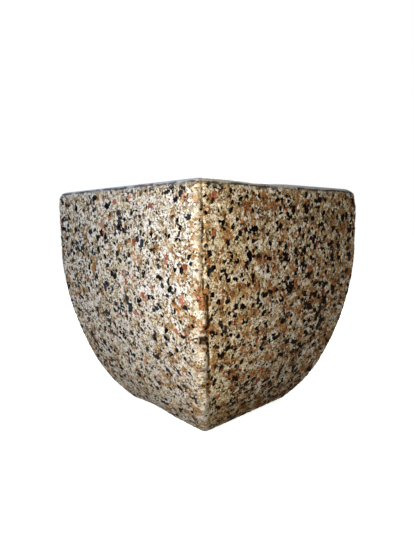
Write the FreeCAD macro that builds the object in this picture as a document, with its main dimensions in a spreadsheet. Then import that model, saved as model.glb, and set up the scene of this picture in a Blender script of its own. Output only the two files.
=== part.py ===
import FreeCAD, Part
import math
import os

import Sketcher

# A block of exposed-aggregate stone, one solid piece. Its head is square and flat. Each
# wall falls straight for a short way and then sweeps in, ever more, to a smaller square
# foot. The walls meet in four eased arrises, and head and foot have eased edges too.
# Millimetres, +Z up, origin at the middle of the foot.

# Driving dimensions. The two turns are shares of the mean lean of a wall's curved part.
SIZES = {
    "head_width": 300.0,
    "foot_width": 156.0,
    "block_height": 300.0,
    "upright_depth": 74.0,
    "sweep_turn": 1.23,
    "foot_turn": 2.56,
    "arris_radius": 12.0,
    "head_ease": 9.0,
    "foot_ease": 11.0,
    "waste_margin": 30.0,
}

WALL_COUNT = 4
SAME = 1e-4

# How a sketch numbers an edge's points and its own horizontal axis
START, END, CENTRE = range(1, 4)
HORIZONTAL_AXIS = -START

os.makedirs("parts", exist_ok=True)
doc = FreeCAD.newDocument("stone_block")
sheet = doc.addObject("Spreadsheet::Sheet", "sizes")
for row, (name, value) in enumerate(SIZES.items(), start=1):
    sheet.set(f"A{row}", name)
    sheet.set(f"B{row}", str(value))
    sheet.setAlias(f"B{row}", name)
doc.recompute()


def size(name):
    return float(sheet.get(name))


def origin_feature(body, role):
    for feature in body.Origin.OriginFeatures:
        if feature.Role == role:
            return feature
    raise ValueError(f"no origin feature {role}")


def new_sketch(body, name, role):
    sketch = body.newObject("Sketcher::SketchObject", name)
    sketch.AttachmentSupport = [(origin_feature(body, role), "")]
    sketch.MapMode = "FlatFace"
    return sketch


def point(across, up):
    return FreeCAD.Vector(across, up, 0)


def add_line(sketch, start, end):
    return sketch.addGeometry(Part.LineSegment(start, end), False)


def add_guide(sketch, start, end):
    return sketch.addGeometry(Part.LineSegment(start, end), True)


def add_arc(sketch, centre, radius, first, last):
    circle = Part.Circle(centre, FreeCAD.Vector(0, 0, 1), radius)
    return sketch.addGeometry(Part.ArcOfCircle(circle, first, last), False)


def join(sketch, *corners):
    """Makes the two points of each pair meet, each given as (edge, which point)."""
    for (first, first_point), (second, second_point) in corners:
        sketch.addConstraint(
            Sketcher.Constraint("Coincident", first, first_point, second, second_point)
        )


def drive(sketch, name, constraint, expression):
    """Names a constraint and lets the sheet drive it."""
    index = sketch.addConstraint(constraint)
    sketch.renameConstraint(index, name)
    sketch.setExpression(f"Constraints.{name}", expression)


def blank_sketch(body):
    """The square that the walls are taken out of, a margin larger than the head all round."""
    sketch = new_sketch(body, "blank_outline", "XY_Plane")
    half = size("head_width") / 2 + size("waste_margin")
    corners = [point(-half, -half), point(half, -half), point(half, half), point(-half, half)]
    sides = [add_line(sketch, corners[i - 1], corners[i]) for i in range(len(corners))]
    left, front, right, back = sides
    join(
        sketch,
        ((left, END), (front, START)),
        ((front, END), (right, START)),
        ((right, END), (back, START)),
        ((back, END), (left, START)),
    )
    for side in (front, back):
        sketch.addConstraint(Sketcher.Constraint("Horizontal", side))
    for side in (left, right):
        sketch.addConstraint(Sketcher.Constraint("Vertical", side))
    sketch.addConstraint(Sketcher.Constraint("Equal", front, right))
    sketch.addConstraint(
        Sketcher.Constraint("Symmetric", front, START, back, START, HORIZONTAL_AXIS, START)
    )
    drive(
        sketch,
        "blank_width",
        Sketcher.Constraint("Distance", front, 2 * half),
        "sizes.head_width + 2 * sizes.waste_margin",
    )
    return sketch


def sweep():
    """Leans and radii of the two arcs of a wall: a long sweep and a tighter tuck below it.

    The wall leaves the upright without a kink, has its first lean where the arcs meet
    and its last at the foot. Both leans are shares of the mean lean, so the arcs bend the
    same way at any size. The radii follow from how far in and how far down the foot lies.
    """
    inset = (size("head_width") - size("foot_width")) / 2
    fall = size("block_height") - size("upright_depth")
    mean = math.atan(inset / fall)
    lean = size("sweep_turn") * mean
    last = size("foot_turn") * mean
    upper_in, upper_down = 1 - math.cos(lean), math.sin(lean)
    lower_in, lower_down = math.cos(lean) - math.cos(last), math.sin(last) - math.sin(lean)
    scale = upper_in * lower_down - lower_in * upper_down
    upper = (inset * lower_down - lower_in * fall) / scale
    lower = (upper_in * fall - inset * upper_down) / scale
    return lean, last, upper, lower


def waste_sketch(body):
    """What one wall loses, drawn on +X: everything outside the wall's own line."""
    sketch = new_sketch(body, "wall_waste", "XZ_Plane")
    margin = size("waste_margin")
    outer = size("head_width") / 2 + 2 * margin
    head = size("head_width") / 2
    foot = size("foot_width") / 2
    top = size("block_height") + margin
    shoulder = size("block_height") - size("upright_depth")
    lean, last, upper, lower = sweep()
    upper_centre = point(head - upper, shoulder)
    meeting = upper_centre + point(upper * math.cos(lean), -upper * math.sin(lean))
    lower_centre = meeting - point(lower * math.cos(lean), -lower * math.sin(lean))

    upright = add_line(sketch, point(head, top), point(head, shoulder))
    long_arc = add_arc(sketch, upper_centre, upper, -lean, 0.0)
    tuck = add_arc(sketch, lower_centre, lower, -last, -lean)
    drop = add_line(sketch, point(foot, 0), point(foot, -margin))
    under = add_line(sketch, point(foot, -margin), point(outer, -margin))
    outside = add_line(sketch, point(outer, -margin), point(outer, top))
    over = add_line(sketch, point(outer, top), point(head, top))
    meeting_guide = add_guide(sketch, lower_centre, meeting)
    foot_guide = add_guide(sketch, lower_centre, point(foot, 0))

    join(
        sketch,
        ((tuck, START), (drop, START)),
        ((drop, END), (under, START)),
        ((under, END), (outside, START)),
        ((outside, END), (over, START)),
        ((over, END), (upright, START)),
        ((meeting_guide, START), (tuck, CENTRE)),
        ((meeting_guide, END), (tuck, END)),
        ((foot_guide, START), (tuck, CENTRE)),
        ((foot_guide, END), (tuck, START)),
    )
    for geometry in (upright, drop, outside):
        sketch.addConstraint(Sketcher.Constraint("Vertical", geometry))
    for geometry in (under, over):
        sketch.addConstraint(Sketcher.Constraint("Horizontal", geometry))
    sketch.addConstraint(Sketcher.Constraint("Tangent", upright, END, long_arc, END))
    sketch.addConstraint(Sketcher.Constraint("Tangent", long_arc, START, tuck, END))
    sketch.addConstraint(Sketcher.Constraint("PointOnObject", drop, START, HORIZONTAL_AXIS))

    def across(name, geometry, which, value, expression):
        constraint = Sketcher.Constraint("DistanceX", HORIZONTAL_AXIS, START, geometry, which, value)
        drive(sketch, name, constraint, expression)

    def above(name, geometry, which, value, expression):
        constraint = Sketcher.Constraint("DistanceY", HORIZONTAL_AXIS, START, geometry, which, value)
        drive(sketch, name, constraint, expression)

    across("half_head", upright, START, head, "sizes.head_width / 2")
    across("half_foot", drop, START, foot, "sizes.foot_width / 2")
    across("outer_side", outside, START, outer, "sizes.head_width / 2 + 2 * sizes.waste_margin")
    above("shoulder", upright, END, shoulder, "sizes.block_height - sizes.upright_depth")
    above("over_head", over, START, top, "sizes.block_height + sizes.waste_margin")
    depth = Sketcher.Constraint("DistanceY", drop, END, drop, START, margin)
    drive(sketch, "under_foot", depth, "sizes.waste_margin")
    inset = "(sizes.head_width - sizes.foot_width) / 2"
    mean = f"atan({inset} / (sizes.block_height - sizes.upright_depth))"
    lean_angle = Sketcher.Constraint("Angle", meeting_guide, -lean)
    drive(sketch, "lean_at_meeting", lean_angle, f"-sizes.sweep_turn * {mean}")
    foot_angle = Sketcher.Constraint("Angle", foot_guide, -last)
    drive(sketch, "lean_at_foot", foot_angle, f"-sizes.foot_turn * {mean}")
    return sketch


def feature_edges(feature, wanted):
    """Names of the feature's edges for which wanted(edge) holds."""
    return [f"Edge{i}" for i, edge in enumerate(feature.Shape.Edges, start=1) if wanted(edge)]


def middle(edge):
    return edge.valueAt((edge.FirstParameter + edge.LastParameter) / 2)


def lies_at(height):
    def test(edge):
        return all(abs(vertex.Point.z - height) < SAME for vertex in edge.Vertexes)

    return test


def is_arris(edge):
    """On one of the two upright planes through opposite corners, and not level."""
    place = middle(edge)
    ends = [vertex.Point.z for vertex in edge.Vertexes]
    return abs(abs(place.x) - abs(place.y)) < SAME and abs(ends[0] - ends[-1]) > SAME


def add_fillet(body, name, base, wanted, expression):
    names = feature_edges(base, wanted)
    if not names:
        raise ValueError(f"{name} found no edges")
    fillet = body.newObject("PartDesign::Fillet", name)
    fillet.Base = (base, names)
    fillet.setExpression("Radius", expression)
    body.Tip = fillet
    doc.recompute()
    if fillet.Shape.Volume >= base.Shape.Volume:
        raise ValueError(f"{name} took nothing away")
    return fillet


def stone_block():
    body = doc.addObject("PartDesign::Body", "stone_block")
    body.Label = "stone_block"

    blank = body.newObject("PartDesign::Pad", "blank")
    blank.Profile = blank_sketch(body)
    blank.setExpression("Length", "sizes.block_height")

    wall = body.newObject("PartDesign::Pocket", "wall")
    wall.Profile = waste_sketch(body)
    wall.Type = "ThroughAll"
    wall.Midplane = True
    doc.recompute()
    one_wall = blank.Shape.Volume - wall.Shape.Volume
    if one_wall <= 0:
        raise ValueError("the wall's pocket cut nothing")

    walls = body.newObject("PartDesign::PolarPattern", "walls")
    walls.Originals = [wall]
    walls.Axis = (origin_feature(body, "Z_Axis"), [""])
    walls.Angle = 360
    walls.Occurrences = WALL_COUNT
    body.Tip = walls
    doc.recompute()
    if blank.Shape.Volume - walls.Shape.Volume < 2 * one_wall:
        raise ValueError("the pattern left walls uncut")

    foot = add_fillet(body, "foot_edges", walls, lies_at(0), "sizes.foot_ease")
    arrises = add_fillet(body, "arrises", foot, is_arris, "sizes.arris_radius")
    add_fillet(body, "head_edges", arrises, lies_at(size("block_height")), "sizes.head_ease")
    return body


pieces = [stone_block()]
doc.recompute()

for item in doc.Objects:
    if "Invalid" in item.State or "Error" in item.State:
        raise RuntimeError(f"{item.Name} failed: {item.State}")
for piece in pieces:
    if piece.Shape.isNull() or not piece.Shape.isValid():
        raise RuntimeError(f"{piece.Label} has no valid shape")
    box = piece.Shape.BoundBox
    print(piece.Label, f"{box.XLength:.1f} x {box.YLength:.1f} x {box.ZLength:.1f} mm")
    print("solids", len(piece.Shape.Solids), "volume", f"{piece.Shape.Volume / 1e6:.3f} litres")
    piece.Shape.exportStep(f"parts/{piece.Label}.step")
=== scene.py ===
# %% [markdown]
# # A block of exposed-aggregate stone
#
# The object is one heavy block. Its walls fall straight from a square head and then
# sweep in to a smaller square foot. What makes it look like stone is not its outline but
# its skin: thousands of crushed chips, pale, tan, rust, grey and black, that were packed
# into cement and then washed bare. The head was trowelled, so its edge is smooth grey
# cement, with a broken dark line below it, painted as the shadow of a groove.
#
# The block comes in from the imported frame with its real size. This script gives it the
# skin: a cement body that is washed back between the chips, and real chips that reach up
# to the CAD surface and never past it.

# %% Load the frame
import math
import random
from collections import namedtuple

import bmesh
import bpy
from mathutils import Euler, Matrix, Vector


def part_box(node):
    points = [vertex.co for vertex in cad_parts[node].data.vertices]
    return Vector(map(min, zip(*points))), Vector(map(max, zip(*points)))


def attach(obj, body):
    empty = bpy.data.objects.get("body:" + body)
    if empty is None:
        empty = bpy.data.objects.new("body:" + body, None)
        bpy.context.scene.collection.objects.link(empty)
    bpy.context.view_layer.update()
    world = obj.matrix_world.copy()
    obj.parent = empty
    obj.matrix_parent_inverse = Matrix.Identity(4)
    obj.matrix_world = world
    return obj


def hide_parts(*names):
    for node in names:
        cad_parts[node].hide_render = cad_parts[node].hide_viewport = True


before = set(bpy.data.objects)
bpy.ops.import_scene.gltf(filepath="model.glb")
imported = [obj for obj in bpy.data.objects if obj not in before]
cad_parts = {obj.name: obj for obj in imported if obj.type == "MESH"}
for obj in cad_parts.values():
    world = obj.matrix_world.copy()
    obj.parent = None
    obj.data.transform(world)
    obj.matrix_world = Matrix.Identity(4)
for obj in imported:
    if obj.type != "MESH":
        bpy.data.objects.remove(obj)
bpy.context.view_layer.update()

MM = 0.001
NODE = "stone_block"
BODY = "root"

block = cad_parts[NODE]
low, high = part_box(NODE)
HEIGHT = high.z
HALF = high.x
print("block", [round(v / MM, 1) for v in (high - low)], "mm")

# %% [markdown]
# ## Writing nodes as expressions
#
# Node trees get long when each node and link is spelled out. A small class wraps one
# output socket, so that `1 - mask * 0.5` adds the two Math nodes that it needs. It serves
# shaders and geometry alike, because both use the same Math node.


# %% Sockets that can be added and multiplied
class Value:
    """An output socket that takes part in Python expressions."""

    def __init__(self, graph, socket):
        self.graph = graph
        self.socket = socket

    def output(self, name):
        """Another output of the same node."""
        return Value(self.graph, self.socket.node.outputs[name])

    def math(self, operation, first, second):
        return self.graph.node("ShaderNodeMath", {"operation": operation}, {0: first, 1: second})

    def __add__(self, other):
        return self.math("ADD", self, other)

    def __radd__(self, other):
        return self.math("ADD", other, self)

    def __sub__(self, other):
        return self.math("SUBTRACT", self, other)

    def __rsub__(self, other):
        return self.math("SUBTRACT", other, self)

    def __mul__(self, other):
        return self.math("MULTIPLY", self, other)

    def __rmul__(self, other):
        return self.math("MULTIPLY", other, self)

    def __truediv__(self, other):
        return self.math("DIVIDE", self, other)

    def __rtruediv__(self, other):
        return self.math("DIVIDE", other, self)

    def __pow__(self, other):
        return self.math("POWER", self, other)

    def __abs__(self):
        return (self * self) ** 0.5

    def __lt__(self, other):
        return self.math("LESS_THAN", self, other)

    def __gt__(self, other):
        return self.math("GREATER_THAN", self, other)

    def at_least(self, other):
        return self.math("MAXIMUM", self, other)

    def at_most(self, other):
        return self.math("MINIMUM", self, other)


# %% [markdown]
# ## One method for every other node
#
# `Graph.node` takes a node's type, its settings and the values or links of its sockets.
# Settings come first, because they decide which sockets a node has. The other methods
# give short names to what this script needs often: mixed colours, noise of a given size
# in metres, and soft masks that are 1 in one place and 0 elsewhere.


# %% A node tree that is being written
class Graph:
    """Writes nodes into a tree."""

    def __init__(self, tree):
        self.tree = tree

    def node(self, kind, settings=None, sockets=None, out=0):
        """Adds a node, sets it, fills its sockets and returns one of its outputs."""
        made = self.tree.nodes.new(kind)
        for name, value in (settings or {}).items():
            if name == "stops":
                self.set_stops(made.color_ramp, value)
            else:
                setattr(made, name, value)
        for name, value in (sockets or {}).items():
            socket = self.find(made.inputs, name)
            if isinstance(value, Value):
                self.tree.links.new(value.socket, socket)
            else:
                socket.default_value = value
        return Value(self, self.find(made.outputs, out)) if len(made.outputs) else None

    @staticmethod
    def find(sockets, name):
        """A socket by number, by name if it is in use, or by identifier."""
        if isinstance(name, int):
            return sockets[name]
        for socket in sockets:
            if socket.name == name and socket.enabled:
                return socket
        for socket in sockets:
            if socket.identifier == name:
                return socket
        raise KeyError(name)

    @staticmethod
    def set_stops(ramp, stops):
        while len(ramp.elements) > len(stops):
            ramp.elements.remove(ramp.elements[-1])
        while len(ramp.elements) < len(stops):
            ramp.elements.new(0.5)
        for element, (place, colour) in zip(ramp.elements, stops):
            element.position = place
            element.color = (*colour, 1.0)

    def mix(self, factor, first, second, blend="MIX"):
        """Mixes two colours."""
        return self.node(
            "ShaderNodeMix",
            {"data_type": "RGBA", "blend_type": blend},
            {"Factor_Float": factor, "A_Color": first, "B_Color": second},
            "Result_Color",
        )

    def grey(self, value):
        """A number as a grey colour."""
        return self.node("ShaderNodeCombineColor", {}, {0: value, 1: value, 2: value})

    def parts(self, place):
        """The X, Y and Z of a place."""
        split = self.node("ShaderNodeSeparateXYZ", {}, {"Vector": place})
        return split.output("X"), split.output("Y"), split.output("Z")

    def noise(self, place, size, detail=2.0, roughness=0.5):
        """Noise whose lumps are about as large as size, in metres."""
        return self.node(
            "ShaderNodeTexNoise",
            {},
            {"Vector": place, "Scale": 1 / size, "Detail": detail, "Roughness": roughness},
        )

    def smooth(self, value, start, end):
        """0 below start, 1 above end, eased between."""
        return self.node(
            "ShaderNodeMapRange",
            {"interpolation_type": "SMOOTHSTEP"},
            {"Value": value, "From Min": start, "From Max": end},
        )

    def within(self, value, start, full, fading, end):
        """1 from full to fading, 0 before start and after end, eased between."""
        return self.smooth(value, start, full) * (1 - self.smooth(value, fading, end))

    def close(self, off, core, edge):
        """1 where off is within core of 0, and 0 from edge on."""
        return 1 - self.smooth(abs(off), core, edge)


def vector(graph, x, y, z):
    return graph.node("ShaderNodeCombineXYZ", {}, {"X": x, "Y": y, "Z": z})


def vector_math(graph, operation, first, second, out=0):
    return graph.node("ShaderNodeVectorMath", {"operation": operation}, {0: first, 1: second}, out)


def scaled(graph, direction, amount):
    return graph.node(
        "ShaderNodeVectorMath", {"operation": "SCALE"}, {"Vector": direction, "Scale": amount}
    )


# %% [markdown]
# ## Shapes for the chips
#
# Crushed stone breaks along flat faces. Each chip is the convex hull of a few random
# points: a nearly flat cap that ends up at the surface, a wider waist, and one point that
# sits in the cement. The small chips of the mosaic and the specks need the fewest
# corners, the large accents have more, and the pebbles on the near arris are the roundest.
# Ten hulls of each kind, turned and scaled, are variety enough, and a dozen or two faces
# each are detail enough for a thing that is 4 mm wide.

# %% Make ten chip shapes of each kind
SHAPES = 10
CORNERS = {"mosaic": (3, 4), "specks": (3, 4), "accents": (4, 5), "arris": (6, 7)}
CAP_RADIUS, CAP_LOW = 0.42, -0.05
WAIST_RADIUS, WAIST_LOW, WAIST_HIGH = 0.53, -0.26, -0.12
ROOT = -0.6
TURN_SLACK = 0.3
REACH_SLACK = (0.7, 1.25)


def ring(source, count, radius, low_z, high_z):
    """Random points that lie roughly in a ring."""
    start = source.uniform(0, math.tau)
    points = []
    for step in range(count):
        turn = start + math.tau * (step + source.uniform(-TURN_SLACK, TURN_SLACK)) / count
        reach = radius * source.uniform(*REACH_SLACK)
        height = source.uniform(low_z, high_z)
        points.append(Vector((reach * math.cos(turn), reach * math.sin(turn), height)))
    return points


def chip_shape(kind, number):
    """One chip about 1 wide, its highest point at 0."""
    source = random.Random(number)
    cap, waist = CORNERS[kind]
    points = ring(source, cap, CAP_RADIUS, CAP_LOW, 0.0)
    points += ring(source, waist, WAIST_RADIUS, WAIST_LOW, WAIST_HIGH)
    points.append(Vector((0, 0, ROOT)))
    top = max(point.z for point in points)
    shape = bmesh.new()
    for point in points:
        shape.verts.new((point.x, point.y, point.z - top))
    hull = bmesh.ops.convex_hull(shape, input=shape.verts)
    spare = [item for item in hull["geom_interior"] if isinstance(item, bmesh.types.BMVert)]
    bmesh.ops.delete(shape, geom=spare, context="VERTS")
    bmesh.ops.recalc_face_normals(shape, faces=shape.faces)
    mesh = bpy.data.meshes.new(f"{kind}_shape_{number}")
    shape.to_mesh(mesh)
    shape.free()
    return bpy.data.objects.new(mesh.name, mesh)


shapes = {}
for kind in CORNERS:
    shapes[kind] = bpy.data.collections.new(f"{kind}_shapes")
    for number in range(SHAPES):
        shapes[kind].objects.link(chip_shape(kind, number))

# %% [markdown]
# ## A fine mesh of the CAD surface
#
# The CAD node arrives as loose triangles, and its own mesh must not change. A copy of it
# is merged and remeshed into small even faces, which can carry wear. The chips are
# scattered over that copy, and the cement is made from it too.


# %% Copy, merge and remesh the CAD surface
VOXEL = 2.3 * MM
MERGE = 0.001 * MM


def merged_copy(name):
    """A copy of the CAD node's mesh whose triangles are joined at their corners."""
    mesh = block.data.copy()
    mesh.name = name
    mesh.materials.clear()
    shape = bmesh.new()
    shape.from_mesh(mesh)
    bmesh.ops.remove_doubles(shape, verts=shape.verts, dist=MERGE)
    shape.to_mesh(mesh)
    shape.free()
    made = bpy.data.objects.new(name, mesh)
    bpy.context.scene.collection.objects.link(made)
    return made


def remesh(piece, voxel):
    """Replaces the piece's mesh by one of even faces."""
    modifier = piece.modifiers.new("even", "REMESH")
    modifier.mode = "VOXEL"
    modifier.voxel_size = voxel
    graph = bpy.context.evaluated_depsgraph_get()
    even = bpy.data.meshes.new_from_object(piece.evaluated_get(graph), depsgraph=graph)
    piece.modifiers.remove(modifier)
    piece.data = even


surface = merged_copy("surface")
remesh(surface, VOXEL)
area = sum(polygon.area for polygon in surface.data.polygons)
print("surface", round(area / MM**2), "mm2,", len(surface.data.vertices), "vertices")

# %% [markdown]
# ## Wear
#
# The real block isn't as true as the CAD solid. Its trowelled head edge dips by about a
# millimetre here and there, three corners of the head are knocked round, the foot of the
# left wall is rubbed, and a small spall is missing from the near arris. Each dent is a
# rough place, a reach and a depth. The nearest point of the surface is its middle, and
# the surface sinks there with a smooth falloff.
#
# A shallow groove runs down beside the near arris, as if two faces of the mould had met
# there. It lies close to the arris near the head and a little further right below.

# %% Press the dents in
Dent = namedtuple("Dent", "place reach depth")
DENTS = {
    "right_corner": Dent((HALF, -HALF, HEIGHT), 24 * MM, 3.2 * MM),
    "left_foot": Dent((-0.52 * HALF, 0.17 * HALF, 0), 60 * MM, 2.5 * MM),
    "left_corner": Dent((-HALF, HALF, HEIGHT), 16 * MM, 1.5 * MM),
    "back_corner": Dent((HALF, HALF, HEIGHT), 12 * MM, 2.0 * MM),
    "front_dip": Dent((-0.35 * HALF, -HALF, HEIGHT), 50 * MM, 1.2 * MM),
    "side_dip": Dent((HALF, 0.3 * HALF, HEIGHT), 45 * MM, 1.0 * MM),
    "back_dip": Dent((-0.2 * HALF, HALF, HEIGHT), 55 * MM, 0.8 * MM),
    "spall": Dent((-0.93 * HALF, -0.93 * HALF, 0.47 * HEIGHT), 8 * MM, 2.0 * MM),
}
SEAM_HIGH = 3.2 * MM
SEAM_LOW = 7.3 * MM
SEAM_STEP = 0.63 * HEIGHT
SEAM_REACH = 2.4 * MM
SEAM_DEPTH = 1.0 * MM
SEAM_TOP = 0.94 * HEIGHT
SEAM_END = 0.17 * HEIGHT
SEAM_FADE = 45 * MM
NEAR_QUARTER = -0.3 * HALF
MOVED = 0.05 * MM


def falloff(distance, reach):
    """1 in the middle, 0 from reach on, level at both ends."""
    share = max(0.0, 1 - (distance / reach) ** 2)
    return share * share


def seam_depth(place):
    """How deep the groove beside the near arris is at a place."""
    if place.x > NEAR_QUARTER or place.y > NEAR_QUARTER or place.z > SEAM_TOP:
        return 0.0
    across = (place.x - place.y) / math.sqrt(2)
    centre = SEAM_HIGH if place.z > SEAM_STEP else SEAM_LOW
    faded = max(0.0, min(1.0, (place.z - SEAM_END) / SEAM_FADE))
    return SEAM_DEPTH * faded * falloff(abs(across - centre), SEAM_REACH)


def press_dents(piece):
    """Sinks the surface along its own directions and counts the points that moved."""
    found = [
        (piece.closest_point_on_mesh(Vector(dent.place))[1], dent.reach, dent.depth)
        for dent in DENTS.values()
    ]
    sinks = []
    for vertex in piece.data.vertices:
        depth = seam_depth(vertex.co)
        for middle, reach, most in found:
            depth += most * falloff((vertex.co - middle).length, reach)
        sinks.append((vertex.co - vertex.normal * depth, depth))
    for vertex, (place, depth) in zip(piece.data.vertices, sinks):
        vertex.co = place
    return sum(depth > MOVED for place, depth in sinks)


print("vertices moved by wear", press_dents(surface))

# %% [markdown]
# ## Tones of stone
#
# Most of the skin is a mosaic of small white, ivory, cream, sand and rust chips. Grey and
# brown specks lie among them, larger black and red accents on top, and rounder pebbles
# sit on the near arris. Each tone has a layer, a share of that layer's places, a share
# of dark flecks, and a ramp of colours that its chips are drawn from. A chip
# draws one random number, and the tone whose share holds that number takes it, so that
# the tones of a layer never compete for the same place. Where the shares of a layer
# don't add to 1, the rest of its places stay empty, and what lies below shows.


# %% Shares and colours of the tones
def stops(*colours, at=(0.0, 0.5, 1.0)):
    """The stops of a colour ramp."""
    return list(zip(at, colours))


Tone = namedtuple("Tone", "layer share flecks colours")
TONES = {
    "white": Tone("mosaic", 0.32, 0.1, stops(
        (0.48, 0.455, 0.405), (0.60, 0.575, 0.53), (0.68, 0.66, 0.63))),
    "ivory": Tone("mosaic", 0.28, 0.12, stops(
        (0.38, 0.335, 0.25), (0.54, 0.49, 0.38), (0.70, 0.645, 0.525))),
    "cream": Tone("mosaic", 0.16, 0.14, stops(
        (0.28, 0.22, 0.122), (0.455, 0.378, 0.24), (0.63, 0.55, 0.395))),
    "sand": Tone("mosaic", 0.13, 0.16, stops(
        (0.17, 0.105, 0.042), (0.325, 0.215, 0.095), (0.49, 0.355, 0.18))),
    "rust": Tone("mosaic", 0.11, 0.14, stops(
        (0.10, 0.041, 0.016), (0.24, 0.10, 0.035), (0.40, 0.19, 0.075), (0.52, 0.31, 0.145),
        at=(0.0, 0.4, 0.8, 1.0))),
    # Grey and brown specks are partly dark grains and partly painted shade: dark chips that stand
    # for the shadows in the joints.
    "grey": Tone("specks", 0.17, 0.2, stops(
        (0.010, 0.008, 0.006), (0.045, 0.040, 0.032), (0.20, 0.19, 0.165))),
    "brown": Tone("specks", 0.12, 0.2, stops(
        (0.016, 0.008, 0.004), (0.07, 0.032, 0.014), (0.22, 0.105, 0.050))),
    # The bluish top of the black ramp, which the left wall reaches, is a painted sheen of the cool
    # light.
    "black": Tone("accents", 0.205, 0.05, stops(
        (0.001, 0.001, 0.001), (0.003, 0.002, 0.002), (0.010, 0.010, 0.012),
        (0.030, 0.040, 0.050), at=(0.0, 0.4, 0.7, 1.0))),
    "red": Tone("accents", 0.03, 0.08, stops(
        (0.10, 0.022, 0.012), (0.24, 0.070, 0.035), (0.44, 0.24, 0.17))),
    # The pebble tones are darker than the mosaic's: painted shade that tempers the strong light on
    # the near arris.
    "pebble": Tone("arris", 0.62, 0.0, stops(
        (0.17, 0.13, 0.075), (0.38, 0.33, 0.235), (0.62, 0.59, 0.50))),
    "amber": Tone("arris", 0.10, 0.0, stops(
        (0.14, 0.065, 0.022), (0.32, 0.17, 0.065), (0.50, 0.33, 0.17))),
}
for layer in CORNERS:
    shares = [tone.share for tone in TONES.values() if tone.layer == layer]
    print(layer, "shares add to", round(sum(shares), 3))

# %% [markdown]
# ## Greying and a painted shadow line near the head
#
# Just below the head the chips are greyed in patches, and a broken dark line of painted
# shadow runs along the head edge, as under a groove. Each is a mask: a number from 0 to 1,
# worked out from a place on the block. Noise makes its edge wander and breaks it up, as a
# brush would.

# %% Masks of the greying and the painted shadow line
ROOT_TWO = math.sqrt(2)
GREYING_DEPTHS = (HEIGHT - 11 * MM, HEIGHT - 3 * MM)
GREYING_PATCH = 9 * MM
GREYING_GAPS = (0.35, 0.65)
GREYING_MOST = 0.6
HEAD_GREY = (0.30, 0.30, 0.29, 1)
LINE_DEPTH = 3.0 * MM
LINE_FALL = 1.8 * MM
LINE_SWAY = 5.0 * MM
LINE_WAVE = 20 * MM
LINE_WIDTH = (0.6 * MM, 1.7 * MM)
LINE_BREAK = 18 * MM
LINE_GAPS = (0.40, 0.52)
LINE_MOST = 0.85
# The head line is painted shadow, as of a groove under the trowelled edge.
HEAD_SHADOW_COLOUR = (0.016, 0.018, 0.026, 1)


def head_greying(graph, place):
    """How much the chips just below the head are greyed."""
    height = graph.parts(place)[2]
    patches = graph.smooth(graph.noise(place, GREYING_PATCH, 3.0), *GREYING_GAPS)
    return graph.smooth(height, *GREYING_DEPTHS) * patches * GREYING_MOST


def head_shadow_line(graph, place):
    """1 in the broken dark line of painted shadow along the head edge, which lies lower on the
    right wall.
    """
    x, y, height = graph.parts(place)
    side = graph.smooth((x - y) / ROOT_TWO, -0.5 * HALF, 0.5 * HALF)
    sway = (graph.noise(place, LINE_WAVE, 3.0) - 0.5) * LINE_SWAY
    off = height - HEIGHT + side * LINE_FALL + LINE_DEPTH - sway
    unbroken = graph.smooth(graph.noise(place, LINE_BREAK, 3.0), *LINE_GAPS)
    return graph.close(off, *LINE_WIDTH) * unbroken


print("greying begins", round(GREYING_DEPTHS[0] / MM), "mm up, head line", LINE_DEPTH / MM, "mm down")

# %% [markdown]
# ## Stains and painted shade beside the near arris
#
# The groove beside the near arris holds dirt and is darkened as painted shade. It shows as
# a thin dark line, with a softer painted shade on its left, where the rounded arris turns
# from the light, and three brown bands across the rounded arris, partly dirt and partly
# painted shade in small pits. The right wall has a tinge of ochre near that line and painted
# shade at its foot, where it leans away from the light, and the lower left wall has a
# painted warm cast, where the cool light reaches less. Painted by hand these would be a
# texture. As masks on Object coordinates they stay sharp at any size, and the chips and the
# cement share them, so that each runs on from one to the other.

# %% Masks and colours of the stains and the painted shade
SEAM_SOFT = 3 * MM
SEAM_SWAY, SEAM_WAVE = 2.5, 7 * MM
SEAM_WIDTH = (0.7 * MM, 2.0 * MM)
SEAM_LENGTH = (SEAM_END, SEAM_END + SEAM_FADE, SEAM_TOP - 8 * MM, SEAM_TOP + 6 * MM)
SEAM_BREAK, SEAM_GAPS = 11 * MM, (0.32, 0.48)
# SHADE is painted shade left of the line, where the rounded arris turns from the light.
SHADE, SHADE_MOST = (-6 * MM, -1 * MM, 0.0, 1.5 * MM), 0.5
BAND_WIDTH = (-11 * MM, -8 * MM, 0.0, 1.5 * MM)
# The bands are partly dirt and partly painted shade in small pits across the arris.
BANDS = ((140 * MM, 11 * MM, 1.0), (106 * MM, 5 * MM, 0.75), (86 * MM, 4 * MM, 0.65))
SEAM_DIRT_AND_SHADE_MOST = 0.97
# The dark line and the bands share one colour: dirt and painted shade.
SEAM_DIRT_AND_SHADE = (0.09, 0.058, 0.034, 1)
OCHRE_WIDTH = (-7 * MM, 0.0, 20 * MM, 75 * MM)
OCHRE = (1.0, 0.92, 0.76, 1)
# Painted shade at the foot of the right wall, which leans away from the light.
FOOT_SHADE_EDGE, FOOT_SHADE_HEIGHT = (0.0, 8 * MM), (15 * MM, 65 * MM)
FOOT_SHADE = (0.70, 0.60, 0.46, 1)
# A painted warm cast on the lower left wall, where the cool light from above reaches less.
LOW_WARM_EDGE, LOW_WARM_HEIGHT = (-12 * MM, 0.0), (30 * MM, 150 * MM)
LOW_WARM_CAST = (0.97, 0.93, 0.86, 1)


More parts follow.
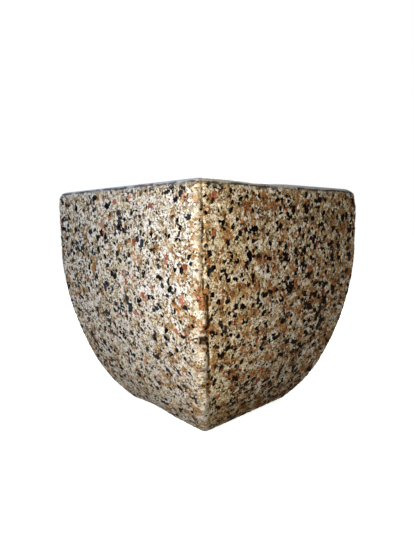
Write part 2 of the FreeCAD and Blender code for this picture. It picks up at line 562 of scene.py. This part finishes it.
def seam_dirt_and_shade(graph, place, off, wander):
    """1 where dirt and painted shade lie: the dark line, the softer shade on its left and the
    bands; off is how far right of the line a place lies.
    """
    x, _, height = graph.parts(place)
    line = graph.close(off, *SEAM_WIDTH) * graph.within(height, *SEAM_LENGTH)
    line = line * graph.smooth(graph.noise(place, SEAM_BREAK, 1.0), *SEAM_GAPS)
    line = line.at_least(graph.within(off, *SHADE) * SHADE_MOST)
    width = graph.within(off, *BAND_WIDTH)
    for middle, thickness, strength in BANDS:
        band = graph.close(height - middle + wander * 0.5, thickness * 0.3, thickness * 0.6)
        line = line.at_least(band * width * strength)
    return line * (x < 0)


def stained_and_shaded(graph, place, colour):
    """A colour with the painted shadow line, the stains and the painted shade laid over it."""
    x, y, height = graph.parts(place)
    across = (x - y) / ROOT_TWO
    lower = 1 - graph.smooth(height, SEAM_STEP - SEAM_SOFT, SEAM_STEP + SEAM_SOFT)
    wander = (graph.noise(place, SEAM_WAVE, 2.0) - 0.5) * SEAM_SWAY * MM
    off = across - SEAM_HIGH - lower * (SEAM_LOW - SEAM_HIGH) + wander
    on_right = y < 0
    ochre = graph.within(off, *OCHRE_WIDTH) * on_right * (x < HALF * 0.9)
    foot_shade = graph.smooth(off, *FOOT_SHADE_EDGE) * (1 - graph.smooth(height, *FOOT_SHADE_HEIGHT)) * on_right
    low_warm_cast = (1 - graph.smooth(across, *LOW_WARM_EDGE)) * (1 - graph.smooth(height, *LOW_WARM_HEIGHT))
    dirt_and_shade = seam_dirt_and_shade(graph, place, off, wander) * SEAM_DIRT_AND_SHADE_MOST
    colour = graph.mix(head_shadow_line(graph, place) * LINE_MOST, colour, HEAD_SHADOW_COLOUR)
    for mask, stain_and_shade in ((ochre, OCHRE), (foot_shade, FOOT_SHADE), (low_warm_cast, LOW_WARM_CAST), (dirt_and_shade, SEAM_DIRT_AND_SHADE)):
        colour = graph.mix(mask, colour, stain_and_shade, "MULTIPLY")
    return colour


print("bands", [round(middle / MM) for middle, thickness, strength in BANDS], "mm up")

# %% [markdown]
# ## Stone that catches light
#
# One function writes every tone's material. A chip's own random tint picks a colour from
# the tone's ramp, and a Voronoi pattern of crystals shifts it inside the chip, gives each
# crystal a hint of its own hue and turns a few into dark flecks. Fine noise mottles the
# stone and varies how rough it is. A chip has only a dozen faces, so a coarser noise
# drives a strong bump, which breaks those faces into the small facets of crushed stone.
# The greying below the head, the stains and the painted shade come last. Washed stone is
# matt: its specular level is so low that the white floor lays no haze over the walls.

# %% Material of one tone of chips
CRYSTAL = 1.3 * MM
GRAIN = {"mosaic": 0.45, "specks": 0.45, "accents": 0.3, "arris": 0.2}
MOTTLE, MOTTLE_EDGES = 1.1 * MM, (0.34, 0.66)
SHADE_FROM, SHADE_RISE = 0.72, 0.5
FLECK_EDGE, FLECK_DARK = 0.8, 0.75
HUE = 0.18
FACET = 2.2 * MM
FACET_DEPTH = 1.6 * MM
CHIP_SPECULAR = 0.004


def crystals(graph, place):
    """A random number from 0 to 1 for each crystal, and a random colour."""
    cell = graph.node(
        "ShaderNodeTexVoronoi", {}, {"Vector": place, "Scale": 1 / CRYSTAL}, "Color"
    )
    return graph.node("ShaderNodeSeparateColor", {}, {"Color": cell}), cell


def new_material(name):
    """An empty material and the graph to write it with."""
    material = bpy.data.materials.new(name)
    material.use_nodes = True
    material.node_tree.nodes.clear()
    return material, Graph(material.node_tree)


def rough_stone(graph, colour, roughness, specular, bump_height, bump_depth, strength=1.0):
    """Ends a material: a matt surface with small relief."""
    bump = graph.node(
        "ShaderNodeBump",
        {},
        {"Strength": strength, "Distance": bump_depth, "Height": bump_height},
    )
    shader = graph.node(
        "ShaderNodeBsdfPrincipled",
        {},
        {
            "Base Color": colour,
            "Roughness": roughness,
            "Specular IOR Level": specular,
            "Normal": bump,
        },
    )
    graph.node("ShaderNodeOutputMaterial", {}, {"Surface": shader})


def chip_material(name, tone):
    material, graph = new_material(f"{name}_stone")
    place = graph.node("ShaderNodeTexCoord").output("Object")
    tint = graph.node("ShaderNodeAttribute", {"attribute_name": "tint"}).output("Fac")
    crystal, hue = crystals(graph, place)
    grain = GRAIN[tone.layer]
    mixed = (tint * (1 - grain) + crystal * grain).at_most(1.0)
    colour = graph.node("ShaderNodeValToRGB", {"stops": tone.colours}, {"Fac": mixed})
    mottle = graph.noise(place, MOTTLE, 3.0, 0.6)
    shade = graph.smooth(mottle, *MOTTLE_EDGES) * SHADE_RISE + SHADE_FROM
    fleck = graph.smooth(crystal, 1.0 - tone.flecks, 1.0 - tone.flecks * FLECK_EDGE)
    shade = shade * (1 - fleck * FLECK_DARK)
    colour = graph.mix(1.0, colour, graph.grey(shade), "MULTIPLY")
    colour = graph.mix(HUE, colour, hue, "MULTIPLY")
    colour = graph.mix(head_greying(graph, place), colour, HEAD_GREY)
    colour = stained_and_shaded(graph, place, colour)
    facets = graph.noise(place, FACET, 2.0, 0.6)
    roughness = mottle * 0.35 + 0.28
    rough_stone(graph, colour, roughness, CHIP_SPECULAR, facets, FACET_DEPTH)
    return material


materials = {name: chip_material(name, tone) for name, tone in TONES.items()}
print("materials", [material.name for material in materials.values()])

# %% [markdown]
# ## Layers of chips
#
# A layer is one scatter of places, and its tones share it. The mosaic is close and small.
# The specks are smaller still. The accents are few and large. The last layer is the
# strip of pebbles on the near arris, where no accent lies.
#
# The names are those of the inputs of the tree that follows. Neighbours in the mosaic
# tend to have the same tone: Drift gives that patchiness, and Own chance what is left to
# luck. Turn moves the mosaic towards rust on the right wall and gives that wall a few
# more specks and accents. A tint that changes from wall to wall paints light into the
# specks and accents: they come out lighter on the left wall, a painted sheen of the cool
# light there, and darker on the right, painted shade. Chips grow and thin out a little
# away from the near arris, because the photograph shows the far parts coarser than its
# perspective explains.

# %% Sizes and habits of the layers
PLAIN = {
    "Own chance": 1.0, "Drift": 0.0, "Turn": 0.0, "Turn tint": 0.0,
    "Bare strip": 0.0, "Only strip": 0.0, "Growth": 0.0, "Thinning": 0.0,
}
LAYERS = {
    "mosaic": {
        **PLAIN, "Seed": 4, "Spacing": 2.5 * MM, "Least width": 2.8 * MM,
        "Most width": 5.9 * MM, "Evenness": 1.4, "Highest": -0.08 * MM, "Lowest": -0.8 * MM,
        "Below head": 1.6 * MM, "Own chance": 0.75, "Drift": 3.0, "Turn": 0.34,
        "Growth": 0.22, "Thinning": 0.3,
    },
    "specks": {
        **PLAIN, "Seed": 6, "Spacing": 3.4 * MM, "Least width": 2.1 * MM,
        "Most width": 5.0 * MM, "Evenness": 1.3, "Highest": -0.02 * MM, "Lowest": -0.3 * MM,
        "Below head": 2.0 * MM, "Turn": -0.04, "Turn tint": -0.2,
        "Growth": 0.25, "Thinning": 0.15,
    },
    "accents": {
        **PLAIN, "Seed": 9, "Spacing": 4.7 * MM, "Least width": 4.6 * MM,
        "Most width": 12.0 * MM, "Evenness": 1.5, "Highest": 0.0, "Lowest": -0.12 * MM,
        "Below head": 6.0 * MM, "Turn": -0.05, "Turn tint": -0.6, "Bare strip": 1.0,
        "Growth": 0.3, "Thinning": 0.12,
    },
    "arris": {
        **PLAIN, "Seed": 12, "Spacing": 4.6 * MM, "Least width": 4.6 * MM,
        "Most width": 8.0 * MM, "Evenness": 1.2, "Highest": -0.02 * MM, "Lowest": -0.35 * MM,
        "Below head": 14.0 * MM, "Only strip": 1.0,
    },
}
print("chip widths", {
    name: (round(layer["Least width"] / MM, 1), round(layer["Most width"] / MM, 1))
    for name, layer in LAYERS.items()
}, "mm")

# %% [markdown]
# ## A tree with named inputs
#
# Chips could be placed by hand or by a particle system. Geometry Nodes do it with a
# rule that can be read: scatter points that keep their distance, keep those of one
# tone, lay a random shape on each with its cap facing out, and press it flush. The
# same tree, with the same seed, serves every tone of a layer, so that together they fill
# its places once. Each random draw has its own fixed seed, so the result never changes.

# %% Inputs and random draws
KINDS = {"Surface": "Geometry", "Shapes": "Collection", "Material": "Material", "Seed": "Int"}
CHIP_INPUTS = [
    "Surface", "Shapes", "Material", "Seed", "Spacing", "Least width", "Most width",
    "Evenness", "Share from", "Share to", "Highest", "Lowest", "Tilt", "Head", "Half",
    "Below head", *PLAIN,
]
DRAWS = {
    "pick": 11, "lean": 21, "list": 22, "turn": 23, "width": 31, "length": 32,
    "thickness": 33, "level": 41, "tint": 51, "shape": 61, "thinning": 71,
}


def new_tree(name, labels):
    tree = bpy.data.node_groups.new(name, "GeometryNodeTree")
    for label in labels:
        kind = f"NodeSocket{KINDS.get(label, 'Float')}"
        tree.interface.new_socket(name=label, in_out="INPUT", socket_type=kind)
    tree.interface.new_socket(name="Geometry", in_out="OUTPUT", socket_type="NodeSocketGeometry")
    return tree


def draw(graph, what, least=0.0, most=1.0, kind="FLOAT"):
    """A random number for each point."""
    return graph.node(
        "FunctionNodeRandomValue",
        {"data_type": kind},
        {"Min": least, "Max": most, "Seed": DRAWS[what]},
        "Value",
    )


def stored(graph, points, name, value):
    """Keeps a number with each point, and so with each chip."""
    return graph.node(
        "GeometryNodeStoreNamedAttribute",
        {"data_type": "FLOAT", "domain": "POINT"},
        {"Geometry": points, "Name": name, "Value": value},
    )


print("the tree has", len(CHIP_INPUTS), "inputs and", len(DRAWS), "random draws")

# %% [markdown]
# ## Which places take a chip
#
# A place's number is its own luck plus the slow noise of its patch, shifted from wall to
# wall. It takes a chip of this tone if that number falls in the tone's share, if it lies
# below the trowelled edge and above the floor, and if its strip allows the layer.

# %% Choose the places
TRIES_PER_PLACE = 9.0
PATCH = 15 * MM
STRIP = (-8.0 * MM, 5.0 * MM)
FOOT_EDGE = 0.4 * MM
LAST_SHARE = 0.9999
Spot = namedtuple("Spot", "place x y height across side away")


def spot_of(graph, given):
    """Where a point lies: how far across the near arris, on which wall, how far away."""
    place = graph.node("GeometryNodeInputPosition")
    x, y, height = graph.parts(place)
    across = (x - y) / ROOT_TWO
    half = given.output("Half")
    side = graph.smooth(across, half * -0.5, half * 0.5)
    away = (abs(across) / half).at_most(1.0)
    return Spot(place, x, y, height, across, side, away)


def takes_chip(graph, given, spot):
    """1 where a point takes a chip of this tone, 0 elsewhere."""
    luck = (draw(graph, "pick") - 0.5) * given.output("Own chance")
    patch = graph.noise(spot.place, PATCH, 2.0)
    number = luck + (patch - 0.5) * given.output("Drift") + 0.5
    number = number + (spot.side - 0.5) * given.output("Turn")
    number = number.at_least(0.0).at_most(LAST_SHARE)
    wanted = (1 - (number < given.output("Share from"))) * (number < given.output("Share to"))
    below_rim = spot.height < given.output("Head") - given.output("Below head")
    above_foot = spot.height > FOOT_EDGE
    near = (spot.x + spot.y) < 0.0
    in_strip = (spot.across > STRIP[0]) * (spot.across < STRIP[1]) * near
    allowed = 1 - in_strip * given.output("Bare strip")
    allowed = allowed * (1 - (1 - in_strip) * given.output("Only strip"))
    thinned = draw(graph, "thinning") < spot.away * given.output("Thinning")
    return wanted * below_rim * above_foot * allowed * (1 - thinned)


print("strip of pebbles", [edge / MM for edge in STRIP], "mm across the near arris")

# %% [markdown]
# ## How a chip lies
#
# Chips differ in width, in length and in how deep they go. Each is turned at random about
# the wall's own direction and leans by a few degrees, so that its cap catches the light
# in its own way.

# %% Size and turn of a chip
LENGTHS = (0.6, 1.0)
THICKNESSES = (0.6, 0.9)


def chip_size(graph, given, spot):
    least = given.output("Least width")
    grown = draw(graph, "width") ** given.output("Evenness")
    width = least + grown * (given.output("Most width") - least)
    width = width * (1 + spot.away * given.output("Growth"))
    length = draw(graph, "length", *LENGTHS) * width
    return vector(graph, width, length, draw(graph, "thickness", *THICKNESSES) * width)


def chip_turn(graph, given, points):
    tilt = given.output("Tilt")
    lean = vector(
        graph,
        draw(graph, "lean", -1.0) * tilt,
        draw(graph, "list", -1.0) * tilt,
        draw(graph, "turn", 0.0, math.tau),
    )
    turn = graph.node("FunctionNodeEulerToRotation", {}, {"Euler": lean})
    return graph.node(
        "FunctionNodeRotateRotation",
        {"rotation_space": "LOCAL"},
        {"Rotation": points.output("Rotation"), "Rotate By": turn},
    )


print("lengths", LENGTHS, "and thicknesses", THICKNESSES, "of a chip's width")

# %% [markdown]
# ## Pressed flush
#
# The maker presses the chips into the mould, so none stands out of the wall. Each point of
# a chip looks up the nearest place on the surface and the direction out of it. What
# stands above the chip's own level sinks back to it, and nothing leaves the block's box.


# %% Press the chips flush
def pressed(graph, given, chips, place):
    nearest = graph.node(
        "GeometryNodeProximity", {"target_element": "FACES"}, {"Target": given}, "Position"
    )
    outwards = graph.node(
        "GeometryNodeSampleNearestSurface",
        {"data_type": "FLOAT_VECTOR"},
        {"Mesh": given, "Value": graph.node("GeometryNodeInputNormal")},
    )
    away = vector_math(graph, "SUBTRACT", place, nearest)
    proud = vector_math(graph, "DOT_PRODUCT", away, outwards, "Value")
    level = graph.node(
        "GeometryNodeInputNamedAttribute", {"data_type": "FLOAT"}, {"Name": "level"}
    )
    sunk = scaled(graph, outwards, (proud - level).at_least(0.0) * -1.0)
    ground = graph.node("GeometryNodeSetPosition", {}, {"Geometry": chips, "Offset": sunk})
    half = given.output("Half")
    lowest = vector(graph, 0 - half, 0 - half, 0.0)
    highest = vector(graph, half, half, given.output("Head"))
    inside = vector_math(graph, "MINIMUM", vector_math(graph, "MAXIMUM", place, lowest), highest)
    return graph.node("GeometryNodeSetPosition", {}, {"Geometry": ground, "Position": inside})


# %% [markdown]
# ## The whole tree
#
# The parts come together: points on the surface, a tint and a level kept with each, one
# of the ten shapes on each chosen point, real geometry in place of instances, the
# pressing, and the tone's material.


# %% The tree that lays one tone of chips
def chip_tree():
    tree = new_tree("lay_chips", CHIP_INPUTS)
    graph = Graph(tree)
    given = graph.node("NodeGroupInput")
    spacing = given.output("Spacing")
    points = graph.node(
        "GeometryNodeDistributePointsOnFaces",
        {"distribute_method": "POISSON"},
        {
            "Mesh": given,
            "Distance Min": spacing,
            "Density Max": TRIES_PER_PLACE / (spacing * spacing),
            "Seed": given.output("Seed"),
        },
        "Points",
    )
    spot = spot_of(graph, given)
    # The side term paints light: lighter specks and accents on the left wall as a painted sheen,
    # darker ones on the right as painted shade.
    tint = draw(graph, "tint") + (spot.side - 0.5) * given.output("Turn tint")
    tinted = stored(graph, points, "tint", tint.at_least(0.0).at_most(1.0))
    level = draw(graph, "level", given.output("Lowest"), given.output("Highest"))
    stones = graph.node(
        "GeometryNodeCollectionInfo",
        {},
        {"Collection": given.output("Shapes"), "Separate Children": True, "Reset Children": True},
    )
    laid = graph.node(
        "GeometryNodeInstanceOnPoints",
        {},
        {
            "Points": stored(graph, tinted, "level", level),
            "Selection": takes_chip(graph, given, spot),
            "Instance": stones,
            "Pick Instance": True,
            "Instance Index": draw(graph, "shape", 0, SHAPES - 1, "INT"),
            "Rotation": chip_turn(graph, given, points),
            "Scale": chip_size(graph, given, spot),
        },
    )
    real = graph.node("GeometryNodeRealizeInstances", {}, {"Geometry": laid})
    flush = pressed(graph, given, real, spot.place)
    done = graph.node(
        "GeometryNodeSetMaterial", {}, {"Geometry": flush, "Material": given.output("Material")}
    )
    graph.node("NodeGroupOutput", {}, {"Geometry": done})
    return tree


laying = chip_tree()
print("tree", laying.name, "with", len(laying.nodes), "nodes")

# %% [markdown]
# ## From modifier to plain mesh
#
# The exported model can't keep instances or live modifiers. The tree's inputs are set
# before the surface is evaluated with it. The result is read once from the evaluated
# object and kept as a plain mesh, and the modifier goes.


# %% Run a tree and keep its result
def run_tree(host, tree, values, name):
    modifier = host.modifiers.new(tree.name, "NODES")
    modifier.node_group = tree
    for item in tree.interface.items_tree:
        if item.in_out == "INPUT" and item.name in values:
            modifier[item.identifier] = values[item.name]
    graph = bpy.context.evaluated_depsgraph_get()
    mesh = bpy.data.meshes.new_from_object(
        host.evaluated_get(graph), preserve_all_data_layers=True, depsgraph=graph
    )
    host.modifiers.remove(modifier)
    mesh.name = name
    made = bpy.data.objects.new(name, mesh)
    bpy.context.scene.collection.objects.link(made)
    return made


def triangles(piece):
    return sum(len(polygon.vertices) - 2 for polygon in piece.data.polygons)


# %% [markdown]
# ## Laying the chips
#
# Each tone becomes one piece, so it keeps its own material. The tones of a layer take
# their shares one after the other.

# %% Lay the chips, one tone at a time
TILT = math.radians(14)

chips = []
filled = {layer: 0.0 for layer in LAYERS}
for name, tone in TONES.items():
    start = filled[tone.layer]
    filled[tone.layer] = start + tone.share
    values = {
        **LAYERS[tone.layer],
        "Shapes": shapes[tone.layer],
        "Material": materials[name],
        "Share from": start,
        "Share to": start + tone.share,
        "Tilt": TILT,
        "Head": HEIGHT,
        "Half": HALF,
    }
    piece = run_tree(surface, laying, values, f"{name}_chips")
    chips.append(piece)
    print(piece.name, triangles(piece), "triangles")

# %% [markdown]
# ## The cement between the chips
#
# Washing takes the cement back by about a millimetre, so it lies lower than the chips on
# the walls. On the trowelled head it stays level with the worn surface, and the edge
# between the two is ragged. A short tree moves the points of the fine mesh inwards.

# %% The tree that washes the cement back
CEMENT_INPUTS = ["Surface", "Material", "Depth", "Head", "Rim"]
WASH_DEPTH = 1.1 * MM
LEAST_DEPTH = 0.03 * MM
LUMP = 6.0 * MM
RIM = 2.8 * MM
RIM_SOFT = (-2.5 * MM, 0.5 * MM)
RIM_WAVE, RIM_SWAY = 16 * MM, 5
FOOT_SOFT = (0.2 * MM, 1.2 * MM)


def rim_sway(graph, place):
    """How far the ragged edge of the trowelled head wanders up and down."""
    return (graph.noise(place, RIM_WAVE, 3.0) - 0.5) * RIM_SWAY * MM


def cement_tree():
    tree = new_tree("wash_cement", CEMENT_INPUTS)
    graph = Graph(tree)
    given = graph.node("NodeGroupInput")
    place = graph.node("GeometryNodeInputPosition")
    height = graph.parts(place)[2]
    rim = given.output("Head") - given.output("Rim") + rim_sway(graph, place)
    wall = 1 - graph.smooth(height, rim + RIM_SOFT[0], rim + RIM_SOFT[1])
    wall = wall * graph.smooth(height, *FOOT_SOFT)
    lumps = graph.noise(place, LUMP, 2.0)
    depth = given.output("Depth") * wall * (lumps + 0.5) + LEAST_DEPTH
    inwards = scaled(graph, graph.node("GeometryNodeInputNormal"), 0 - depth)
    moved = graph.node("GeometryNodeSetPosition", {}, {"Geometry": given, "Offset": inwards})
    real = graph.node("GeometryNodeRealizeInstances", {}, {"Geometry": moved})
    done = graph.node(
        "GeometryNodeSetMaterial", {}, {"Geometry": real, "Material": given.output("Material")}
    )
    graph.node("NodeGroupOutput", {}, {"Geometry": done})
    return tree


washing = cement_tree()
print("tree", washing.name, "with", len(washing.nodes), "nodes")

# %% [markdown]
# ## Two faces of cement
#
# Washed cement between the chips is sandy and dark; its darkest tones are partly painted
# shade in the gaps between the chips. Trowelled cement on the head is grey, cloudy and a
# little smoother, and its bluish tint is a painted reflection of cool light. The same
# ragged edge that the tree used divides them, and the dark lines, the painted shade and
# the stains of the chips run on over both.

# %% Material of the cement
CLOUD = 30 * MM
GRIT = 1.5 * MM
GRIT_DEPTH, GRIT_STRENGTH = 0.3 * MM, 0.4
CEMENT_SPECULAR = 0.06
# The dark end of the sandy ramp is partly painted shade of the gaps between the chips.
SANDY = stops(
    (0.03, 0.022, 0.015), (0.09, 0.065, 0.04), (0.24, 0.18, 0.12), (0.50, 0.42, 0.32),
    at=(0.0, 0.3, 0.7, 1.0))
# The bluish tint of the trowelled grey is a painted reflection of cool light on the smooth edge.
TROWELLED = stops((0.17, 0.18, 0.20), (0.42, 0.44, 0.47), at=(0.3, 0.7))


def cement_material():
    material, graph = new_material("washed_cement")
    place = graph.node("ShaderNodeTexCoord").output("Object")
    height = graph.parts(place)[2]
    head = graph.smooth(height - (HEIGHT - RIM) - rim_sway(graph, place), *RIM_SOFT)
    grit = crystals(graph, place)[0]
    fine = graph.noise(place, GRIT, 3.0, 0.6)
    cloudy = graph.noise(place, CLOUD, 3.0) * 0.5 + fine * 0.5
    sandy = graph.node("ShaderNodeValToRGB", {"stops": SANDY}, {"Fac": grit})
    trowelled = graph.node("ShaderNodeValToRGB", {"stops": TROWELLED}, {"Fac": cloudy})
    colour = stained_and_shaded(graph, place, graph.mix(head, sandy, trowelled))
    roughness = 0.75 - head * 0.3 + fine * 0.1
    rough_stone(graph, colour, roughness, CEMENT_SPECULAR, fine, GRIT_DEPTH, GRIT_STRENGTH)
    return material


# %% [markdown]
# ## The body of the block
#
# The worn fine mesh has done its work once the chips lie on it. The washing tree turns it
# into the cement body, with smooth shading, and the bare copy goes.

# %% Wash the cement back
values = {"Material": cement_material(), "Depth": WASH_DEPTH, "Head": HEIGHT, "Rim": RIM}
cement = run_tree(surface, washing, values, "cement_body")
cement.data.shade_smooth()
bpy.data.objects.remove(surface)
print(cement.name, triangles(cement), "triangles")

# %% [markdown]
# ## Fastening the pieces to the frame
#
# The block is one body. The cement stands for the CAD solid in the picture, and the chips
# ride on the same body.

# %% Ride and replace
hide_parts(NODE)
for piece in [cement, *chips]:
    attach(piece, BODY)
print("pieces", [piece.name for piece in [cement, *chips]])

# %% [markdown]
# ## A pale floor
#
# The floor runs out to white. What the camera sees of it is partly its own light, so it
# stays white without more light on the block, and the block's shadow still shows. Light
# that bounces meets a dark floor, so that the walls that lean in aren't lit from below.

# %% Floor
FLOOR_SIDE = 12.0
GLOW_NEAR, GLOW_RISE, GLOW_REACH = 0.78, 0.25, (0.15, 0.6)
FLOOR_SEEN = (0.62, 0.62, 0.62, 1)
FLOOR_UNSEEN = (0.09, 0.06, 0.04, 1)


def shows_background(graph):
    """1 for rays that show it: straight, mirrored or through glass. 0 for bounced light."""
    path = graph.node("ShaderNodeLightPath")
    seen = path.output("Is Camera Ray").at_least(path.output("Is Glossy Ray"))
    return seen.at_least(path.output("Is Transmission Ray"))


def floor_material():
    material, graph = new_material("pale_floor")
    place = graph.node("ShaderNodeTexCoord").output("Object")
    away = vector_math(graph, "LENGTH", place, (0, 0, 0), "Value")
    glow = graph.grey(graph.smooth(away, *GLOW_REACH) * GLOW_RISE + GLOW_NEAR)
    white = graph.node("ShaderNodeBsdfDiffuse", {}, {"Color": FLOOR_SEEN})
    light = graph.node("ShaderNodeEmission", {}, {"Color": glow, "Strength": 1.0})
    shown = graph.node("ShaderNodeAddShader", {}, {0: white, 1: light})
    plain = graph.node("ShaderNodeBsdfDiffuse", {}, {"Color": FLOOR_UNSEEN})
    mixed = graph.node(
        "ShaderNodeMixShader", {}, {0: shows_background(graph), 1: plain, 2: shown}
    )
    graph.node("ShaderNodeOutputMaterial", {}, {"Surface": mixed})
    return material


bpy.ops.mesh.primitive_plane_add(size=FLOOR_SIDE, location=(0, 0, 0))
floor = bpy.context.object
floor.name = "floor"
floor.data.materials.append(floor_material())
print("floor", FLOOR_SIDE, "m wide")

# %% [markdown]
# ## Light
#
# A close soft lamp in front of the left wall lights that wall fully and rakes the right
# one. Being close, it falls off towards the far corners, as it does in the photograph. A
# cool lamp high on the left fills the far part of that wall, and a warm one high on the
# right gives the right wall its yellow cast. Two more, behind and above, light the sides
# that the photograph doesn't show. The sky is white to the camera and dim to the block.

# %% Lamps and sky
CENTRE = Vector((0, 0, HEIGHT / 2))
SKY = (1.0, 0.9, 0.8, 1)
SKY_LEVEL = 0.02
LAMPS = {
    "key_lamp": ((-0.46, -0.335, 0.195), 0.24, 3.85, (1.0, 0.97, 0.94)),
    "left_fill": ((-0.95, 0.14, 0.85), 0.50, 5.8, (0.60, 0.76, 1.0)),
    "right_fill": ((-0.20, -0.95, 0.55), 0.50, 2.25, (1.0, 0.83, 0.47)),
    "back_lamp": ((0.75, 0.75, 0.60), 0.60, 15.0, (1.0, 0.97, 0.92)),
    "top_lamp": ((0.0, 0.0, 1.20), 0.50, 4.0, (1.0, 1.0, 1.0)),
}

for name, (place, side, power, colour) in LAMPS.items():
    data = bpy.data.lights.new(name, "AREA")
    data.shape = "SQUARE"
    data.size = side
    data.energy = power
    data.color = colour
    lamp = bpy.data.objects.new(name, data)
    lamp.location = place
    lamp.rotation_euler = (CENTRE - Vector(place)).to_track_quat("-Z", "Y").to_euler()
    bpy.context.scene.collection.objects.link(lamp)

world = bpy.data.worlds.new("studio")
bpy.context.scene.world = world
world.use_nodes = True
world.node_tree.nodes.clear()
graph = Graph(world.node_tree)
around = graph.node("ShaderNodeBackground", {}, {"Color": SKY, "Strength": SKY_LEVEL})
behind = graph.node("ShaderNodeBackground", {}, {"Color": (1, 1, 1, 1), "Strength": 1.0})
mixed = graph.node(
    "ShaderNodeMixShader", {}, {0: shows_background(graph), 1: around, 2: behind}
)
graph.node("ShaderNodeOutputWorld", {}, {"Surface": mixed})
print("lamps", list(LAMPS))

# %% [markdown]
# ## The camera
#
# The photograph was taken from 0.6 m away, a little below the level of the head, looking
# slightly down at the near arris. The focal length is in pixels of the photograph's
# height and is turned into millimetres of a 36 mm sensor.

# %% Camera
IMAGE_HEIGHT = 552
FOCAL = 441.0
SENSOR = 36.0
CAMERA_PLACE = (-0.4255, -0.4565, 0.2599)
HEADING, PITCH, ROLL = math.radians(-43.02), math.radians(-7.22), math.radians(-0.55)
NEAREST_SEEN = 0.01

camera_data = bpy.data.cameras.new("camera")
camera_data.sensor_width = SENSOR
camera_data.lens = FOCAL / IMAGE_HEIGHT * SENSOR
camera_data.clip_start = NEAREST_SEEN
camera = bpy.data.objects.new("camera", camera_data)
bpy.context.scene.collection.objects.link(camera)
camera.location = CAMERA_PLACE
aim = Euler((math.pi / 2 + PITCH, 0, HEADING)).to_matrix()
camera.rotation_euler = (aim @ Matrix.Rotation(ROLL, 3, "Z")).to_euler()
bpy.context.scene.camera = camera
print("lens", round(camera_data.lens, 2), "mm")

# %% [markdown]
# ## The view transform
#
# Colours show as they are written with the Standard view transform.

# %% View settings
bpy.context.scene.view_settings.view_transform = "Standard"
bpy.context.view_layer.update()
